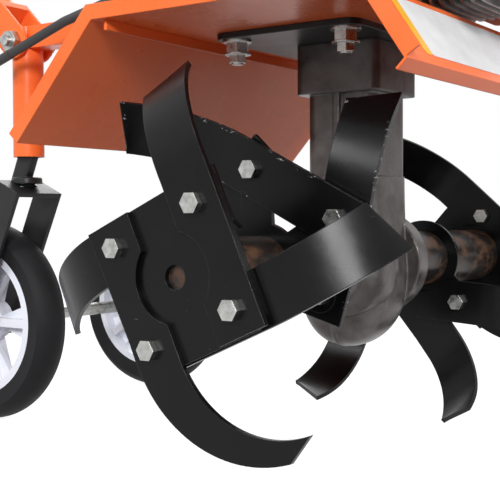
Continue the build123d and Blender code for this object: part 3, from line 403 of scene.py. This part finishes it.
def dark_paint(name, colour, roughness):
    """Smooth dark paint with rubbed edges."""
    m = Maker(name)
    peel = m.noise(500.0, 2.0, 0.4)
    cloud = m.noise(15.0, 4.0, 0.6)
    lighter = tuple(c * 1.7 + 0.003 for c in colour)
    rubbed = m.math("MULTIPLY", m.edge(PAINT_RUB), m.ramp(m.noise(110.0, 3.0, 0.6), 0.46, 0.7, 0.0, 0.6))
    base = m.mix(m.ramp(cloud, 0.35, 0.75), colour, lighter)
    m.base(m.mix(rubbed, base, PAINT_RUBBED))
    m.rough(m.ramp(cloud, 0.3, 0.7, roughness - 0.05, roughness + 0.07))
    m.set(Specular_IOR_Level=0.25)
    m.bumps((peel, 0.00005, 0.4), rounding=PAINT_ROUNDING)
    return m.material


def muffler_steel():
    """Heat-tinted sheet steel."""
    m = Maker("muffler_steel")
    cloud = m.noise(28.0, 5.0, 0.6)
    fine = m.noise(800.0, 3.0, 0.6)
    colour = m.mix(m.ramp(cloud, 0.35, 0.7), MUFFLER_DARK, MUFFLER_PALE)
    m.base(colour)
    m.rough(m.ramp(cloud, 0.3, 0.7, 0.40, 0.58))
    m.set(Metallic=0.8)
    m.bumps((fine, 0.00008, 0.5))
    return m.material


SLOT_MATERIALS = {
    "tine_black": tine_black(),
    "zinc": zinc(),
    "shaft_black": shaft_black(),
    "casting": casting(),
    "orange_paint": orange_paint(),
    "tyre": tyre_rubber(),
    "pale_plastic": pale_plastic(),
    "black_paint": dark_paint("black_paint", (0.012, 0.012, 0.013), 0.36),
    "black_plastic": dark_plastic("black_plastic", (0.014, 0.014, 0.015), 0.52),
    "engine_alloy": engine_alloy(),
    "shroud_paint": dark_paint("shroud_paint", (0.020, 0.020, 0.022), 0.30),
    "tank_plastic": dark_plastic("tank_plastic", (0.022, 0.022, 0.024), 0.34),
    "muffler_steel": muffler_steel(),
}


def dress(node, material):
    mesh = nodes[node].data
    mesh.materials.clear()
    mesh.materials.append(material)


for row in frame["record"]["subparts"]:
    dress(row["node"], SLOT_MATERIALS[row["material_slot"]])
dress("inner_tines_right", chipped_black())

NODE_SMOOTH_ANGLE = 32
PIECE_SMOOTH_ANGLE = 40
CABLE_SMOOTH_ANGLE = 50


def smooth(mesh, angle):
    """Smooth shading, with edges sharper than angle, in degrees, kept sharp."""
    for polygon in mesh.polygons:
        polygon.use_smooth = True
    mesh.set_sharp_from_angle(angle=math.radians(angle))


for obj in nodes.values():
    smooth(obj.data, NODE_SMOOTH_ANGLE)


# The scene's own pieces are given in mm from the middle of the rotor axis.
MM = 0.001
RING_POINTS = 56

# Gearbox casing: a smooth casting that flares from the column and rounds off below the shaft. Each row of an oval
# loft has its height, its middle along X, its half widths along X and Y, and its squareness, 2 for an ellipse.
CASING_STEPS = 6
CASING_ROWS = (
    (74.0, -6.0, 34.5, 34.5, 5.0),
    (42.0, -6.0, 35.0, 35.0, 5.0),
    (14.0, -6.5, 38.0, 36.5, 4.0),
    (-12.0, -8.0, 41.5, 37.5, 3.4),
    (-38.0, -9.5, 40.0, 36.5, 3.0),
    (-56.0, -10.5, 31.0, 32.0, 2.7),
    (-67.0, -11.0, 18.5, 23.0, 2.4),
    (-71.5, -11.0, 6.0, 8.0, 2.0),
)
SEAM_HALF = 3.5
SEAM_PROUD = 3.0

# The round cover and boss on each side of the casing, and the collar on the shaft beyond it.
COVER_PROFILE = (  # distance from the middle plane, radius
    (20.0, 44.0),
    (36.0, 44.0),
    (39.5, 43.0),
    (41.0, 40.0),
    (41.6, 37.0),
    (43.5, 34.0),
    (47.5, 31.5),
    (54.0, 30.2),
    (63.0, 29.6),
    (65.2, 28.6),
    (66.0, 26.8),
)
COLLAR_SPAN = (67.0, 101.0)
COLLAR_RADIUS = 26.0


def between(p, q, r, s, t):
    """Value at t from q to r on a smooth curve through p, q, r and s."""
    return q + 0.5 * t * (r - p + t * (2 * p - 5 * q + 4 * r - s + t * (3 * (q - r) + s - p)))


def smooth_rows(rows, steps):
    """The rows with curved in-between rows, so that a loft over them has no corners."""
    last = len(rows) - 1
    out = []
    for i in range(last):
        four = rows[max(i - 1, 0)], rows[i], rows[i + 1], rows[min(i + 2, last)]
        for step in range(steps):
            out.append(tuple(between(*values, step / steps) for values in zip(*four)))
    return out + [rows[-1]]


def stacked(rings):
    """Points and faces of a closed skin over rings of as many points each."""
    count = len(rings[0])
    points = [point for ring in rings for point in ring]
    faces = [
        (k * count + i, k * count + (i + 1) % count, (k + 1) * count + (i + 1) % count, (k + 1) * count + i)
        for k in range(len(rings) - 1)
        for i in range(count)
    ]
    last = (len(rings) - 1) * count
    return points, [*faces, tuple(reversed(range(count))), tuple(range(last, last + count))]


def circle(count):
    """Angles of points evenly spaced all round."""
    return [2 * math.pi * i / count for i in range(count)]


def oval(row, widen=0.0, half_x=None):
    """Ring of one row of a loft, wider along Y by widen, and with another half width along X if one is given."""
    height, middle, wide, deep, power = row
    wide = wide if half_x is None else half_x
    ring = []
    for a in circle(RING_POINTS):
        c, s = math.cos(a), math.sin(a)
        x = math.copysign(abs(c) ** (2 / power), c) * wide
        y = math.copysign(abs(s) ** (2 / power), s) * (deep + widen)
        ring.append((middle + x, y, height))
    return ring


def turned(profile, sign):
    """Rings of a turned shape on the rotor axis, on the side of sign."""
    return [
        [(radius * math.cos(a), sign * y, radius * math.sin(a)) for a in circle(RING_POINTS)]
        for y, radius in profile
    ]


def skin_piece(name, skins, slot, body, smooth_angle=PIECE_SMOOTH_ANGLE):
    """One object from several closed skins. Without a body it rides on none."""
    middle = shaft_middle()
    mesh_points, mesh_faces = [], []
    for rings in skins:
        points, faces = stacked(rings)
        start = len(mesh_points)
        mesh_points += [middle + Vector(point) * MM for point in points]
        mesh_faces += [tuple(i + start for i in face) for face in faces]
    mesh = bpy.data.meshes.new(name)
    mesh.from_pydata(mesh_points, [], mesh_faces)
    shape = bmesh.new()
    shape.from_mesh(mesh)
    bmesh.ops.recalc_face_normals(shape, faces=shape.faces)
    shape.to_mesh(mesh)
    shape.free()
    mesh.materials.append(SLOT_MATERIALS[slot])
    smooth(mesh, smooth_angle)
    piece = bpy.data.objects.new(name, mesh)
    scene.collection.objects.link(piece)
    if body is not None:
        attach(piece, body)
    return piece


casing_rows = smooth_rows(CASING_ROWS, CASING_STEPS)
casing = skin_piece(
    "gearbox_casing",
    [
        [oval(row) for row in casing_rows],
        [oval(row, SEAM_PROUD, SEAM_HALF) for row in casing_rows],
        turned(COVER_PROFILE, -1),
        turned(COVER_PROFILE, 1),
    ],
    "casting",
    "frame",
)
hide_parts("gearbox_case_left", "gearbox_case_right")
for side, sign in (("right", -1), ("left", 1)):
    collar = [(y, COLLAR_RADIUS) for y in COLLAR_SPAN]
    skin_piece("hub_collar_" + side, [turned(collar, sign)], "shaft_black", "rotor")


# Wheel struts: flat bars that come out of the legs and lean back to the forks, with a cap on each fork.
STRUT_STEPS = 3
STRUT_SECTION = (10.0, 5.0, 6.0)
STRUT_LINE = (  # height, middle along X
    (150.0, -280.0),
    (108.0, -280.0),
    (97.0, -281.0),
    (90.0, -283.5),
    (76.0, -289.5),
    (71.0, -291.5),
)
STRUT_ROWS = tuple((*place, *STRUT_SECTION) for place in STRUT_LINE)
STRUT_Y = 121.0
STRUT_CAP = (
    (76.8, -283.0, 12.5, 11.5, 2.2),
    (75.8, -283.0, 13.8, 12.8, 2.2),
    (71.0, -283.0, 14.2, 13.2, 2.2),
)
struts = skin_piece(
    "wheel_strut_bars",
    [
        [[(x, y + sign * STRUT_Y, z) for x, y, z in oval(row)] for row in rows]
        for sign in (-1, 1)
        for rows in (smooth_rows(STRUT_ROWS, STRUT_STEPS), STRUT_CAP)
    ],
    "black_paint",
    "frame",
)
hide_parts("wheel_struts")


# Cable that starts in a sleeve on the frame's cable, crosses the handlebar's pivot and runs up the handle tube. It is
# one piece.
CABLE_RADIUS = 4.0
CABLE_SLEEVE = 4.3
CABLE_POINTS = (
    (-262.0, -158.0, 183.1),
    (-285.0, -158.0, 175.7),
    (-312.0, -155.0, 190.0),
    (-330.4, -141.0, 247.0),
    (-560.0, -141.0, 470.0),
    (-693.5, -227.1, 616.9),
)
CABLE_CORNER = 22.0
CABLE_STEP = 6.0
CABLE_SIDES = 14
CORNER_PARTS = 8
CORNER_SHARE = 0.45
BEND_START, BEND_END = 1, 3


def rounded_path(points, corner, step):
    """Points along a broken line with its corners rounded off, no further apart than step."""
    points = [Vector(point) for point in points]
    marks = [points[0]]
    for before, here, after in zip(points, points[1:], points[2:]):
        reach = min(corner, CORNER_SHARE * (here - before).length, CORNER_SHARE * (after - here).length)
        a = here + (before - here).normalized() * reach
        b = here + (after - here).normalized() * reach
        for k in range(CORNER_PARTS + 1):
            t = k / CORNER_PARTS
            marks.append(a.lerp(here, t).lerp(here.lerp(b, t), t))
    marks.append(points[-1])
    path = [marks[0]]
    for a, b in zip(marks, marks[1:]):
        parts = max(1, math.ceil((b - a).length / step))
        path += [a.lerp(b, (k + 1) / parts) for k in range(parts)]
    return path


def tube_rings(path, radius, sides):
    """Rings round the path, each turned from the last without twist."""
    rings = []
    up = Vector((0.0, 1.0, 0.0))
    for i, point in enumerate(path):
        ahead = (path[min(i + 1, len(path) - 1)] - path[max(i - 1, 0)]).normalized()
        up = (up - ahead * up.dot(ahead)).normalized()
        side = ahead.cross(up)
        rings.append([tuple(point + (up * math.cos(a) + side * math.sin(a)) * radius) for a in circle(sides)])
    return rings


slots = {row["node"]: row["material_slot"] for row in frame["record"]["subparts"]}
cable_path = rounded_path(CABLE_POINTS, CABLE_CORNER, CABLE_STEP)
sleeve_path = rounded_path(CABLE_POINTS[: BEND_START + 1], CABLE_CORNER, CABLE_STEP)
cable = skin_piece(
    "upper_cable_run",
    [
        tube_rings(cable_path, CABLE_RADIUS, CABLE_SIDES),
        tube_rings(sleeve_path, CABLE_SLEEVE, CABLE_SIDES),
    ],
    slots["upper_cable"],
    None,
    CABLE_SMOOTH_ANGLE,
)
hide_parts("upper_cable")
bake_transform(cable)


# Blank label on the front flap: a pale sheet with a yellow strip, no print. Lengths in metres.
LABEL_YELLOW = (0.80, 0.42, 0.035)
LABEL_WHITE = (0.70, 0.70, 0.71)
LABEL_DARKER = 0.93
LABEL_EDGE = 0.037  # from the flap's near edge
STRIP_WIDTH = 0.010
LABEL_LENGTH = 0.230
LABEL_REACH = (-0.027, 0.024)  # across the slope from the flap's middle
LABEL_CORNER = 0.003
LABEL_THICKNESS = 0.0003
CORNER_STEPS = 5
FLAP_OUTWARD = 0.7  # least X and Z of the normal of a face that counts as the flap's
FLAP_UPWARD = 0.4


def label_material(name, colour):
    """Smooth sheet in one colour."""
    m = Maker(name)
    cloud = m.noise(60.0, 3.0, 0.5)
    m.base(m.mix(m.ramp(cloud, 0.35, 0.7), tuple(c * LABEL_DARKER for c in colour), colour))
    m.rough(m.ramp(cloud, 0.3, 0.7, 0.28, 0.4))
    m.bumps((m.noise(500.0, 2.0, 0.5), 0.00004, 0.3))
    return m.material


def flap_plane():
    """Middle, outward normal and near edge of the deck's sloping front flap, read from the node."""
    deck = nodes["deck"]
    turn = deck.matrix_world.to_3x3()
    faces = [
        p
        for p in deck.data.polygons
        if (turn @ p.normal).x > FLAP_OUTWARD and (turn @ p.normal).z > FLAP_UPWARD
    ]
    area = sum(p.area for p in faces)
    middle = sum(((deck.matrix_world @ p.center) * p.area for p in faces), Vector()) / area
    normal = sum(((turn @ p.normal) * p.area for p in faces), Vector()).normalized()
    near = min((deck.matrix_world @ deck.data.vertices[i].co).y for p in faces for i in p.vertices)
    return middle, normal, near


def label(name, start, length, material):
    """Thin sheet with round corners on the front flap, from start along the flap's width."""
    middle, normal, near = flap_plane()
    along = Vector((0.0, 1.0, 0.0))
    down = along.cross(normal)
    if down.z > 0:
        down = -down
    low, high = LABEL_REACH
    left, right = LABEL_CORNER, length - LABEL_CORNER
    bottom, top = low + LABEL_CORNER, high - LABEL_CORNER
    corners = ((right, top, 0), (left, top, 90), (left, bottom, 180), (right, bottom, 270))
    ring = []
    for u, v, turn in corners:
        for step in range(CORNER_STEPS + 1):
            a = math.radians(turn + 90 * step / CORNER_STEPS)
            ring.append((u + LABEL_CORNER * math.cos(a), v + LABEL_CORNER * math.sin(a)))
    origin = Vector((middle.x, near + LABEL_EDGE + start, middle.z))
    points = []
    for lift in (0.0, LABEL_THICKNESS):
        points += [origin + along * u + down * v + normal * lift for u, v in ring]
    count = len(ring)
    sides = [(i, (i + 1) % count, (i + 1) % count + count, i + count) for i in range(count)]
    mesh = bpy.data.meshes.new(name)
    mesh.from_pydata(points, [], [tuple(reversed(range(count))), tuple(range(count, 2 * count)), *sides])
    mesh.validate()
    mesh.materials.append(material)
    sheet = bpy.data.objects.new(name, mesh)
    scene.collection.objects.link(sheet)
    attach(sheet, "frame")


label("flap_label_strip", 0.0, STRIP_WIDTH, label_material("label_yellow", LABEL_YELLOW))
label("flap_label_sheet", STRIP_WIDTH, LABEL_LENGTH, label_material("label_white", LABEL_WHITE))


# Floor and light
WHITE = (1.0, 1.0, 1.0, 1.0)
WORLD_LEVEL = 0.40
FLOOR_REACH = 14.0
FLOOR_GREY = (0.20, 0.20, 0.20, 1.0)
FLOOR_GLOW = 0.91
LAMPS = (  # name, place from the middle of the rotor axis and size in metres, power in watts
    ("key", (0.98, -1.92, 0.88), (0.60, 0.45), 37.0),
    ("fill", (-0.82, -1.86, 1.12), (0.60, 0.45), 14.0),
    ("side", (2.0, 0.2, 0.9), (0.60, 0.60), 22.0),
    ("back", (-1.4, 1.6, 1.4), (1.6, 1.0), 18.0),
    ("top", (-0.2, -0.2, 2.4), (1.6, 1.6), 14.0),
)


def area_lamp(name, offset, size, power):
    """Lamp that aims at the middle of the rotor axis."""
    data = bpy.data.lights.new(name, "AREA")
    data.shape = "RECTANGLE"
    data.size, data.size_y = size
    data.energy = power
    lamp = bpy.data.objects.new(name, data)
    scene.collection.objects.link(lamp)
    lamp.location = shaft_middle() + Vector(offset)
    lamp.rotation_mode = "QUATERNION"
    lamp.rotation_quaternion = (-Vector(offset)).to_track_quat("-Z", "Y")


def seen_plainly(tree, low, high):
    """Socket that is high for rays from the camera and for glossy and transmission rays, and low for the rest."""
    paths = tree.nodes.new("ShaderNodeLightPath")
    last = paths.outputs["Is Camera Ray"]
    for name in ("Is Glossy Ray", "Is Transmission Ray"):
        add = tree.nodes.new("ShaderNodeMath")
        add.operation = "MAXIMUM"
        tree.links.new(last, add.inputs[0])
        tree.links.new(paths.outputs[name], add.inputs[1])
        last = add.outputs[0]
    level = tree.nodes.new("ShaderNodeMapRange")
    level.inputs["To Min"].default_value = low
    level.inputs["To Max"].default_value = high
    tree.links.new(last, level.inputs["Value"])
    return level.outputs[0]


def camera_white(world_level):
    """World that lights at one level and shows white to the camera and in gloss."""
    world = bpy.data.worlds.new("studio")
    world.use_nodes = True
    tree = world.node_tree
    tree.nodes.clear()
    out = tree.nodes.new("ShaderNodeOutputWorld")
    background = tree.nodes.new("ShaderNodeBackground")
    background.inputs["Color"].default_value = WHITE
    tree.links.new(seen_plainly(tree, world_level, 1.0), background.inputs["Strength"])
    tree.links.new(background.outputs[0], out.inputs[0])
    scene.world = world


def floor():
    """Plain pale floor that keeps the object's shadow."""
    mesh = bpy.data.meshes.new("floor")
    r = FLOOR_REACH
    mesh.from_pydata([(-r, -r, 0), (r, -r, 0), (r, r, 0), (-r, r, 0)], [], [(0, 1, 2, 3)])
    plane = bpy.data.objects.new("floor", mesh)
    scene.collection.objects.link(plane)
    m = Maker("floor")
    m.set(Base_Color=FLOOR_GREY, Roughness=0.8, Specular_IOR_Level=0.2, Emission_Color=WHITE)
    m.link(seen_plainly(m.tree, 0.0, FLOOR_GLOW), m.shader.inputs["Emission Strength"])
    mesh.materials.append(m.material)


camera_white(WORLD_LEVEL)
floor()
for lamp_row in LAMPS:
    area_lamp(*lamp_row)
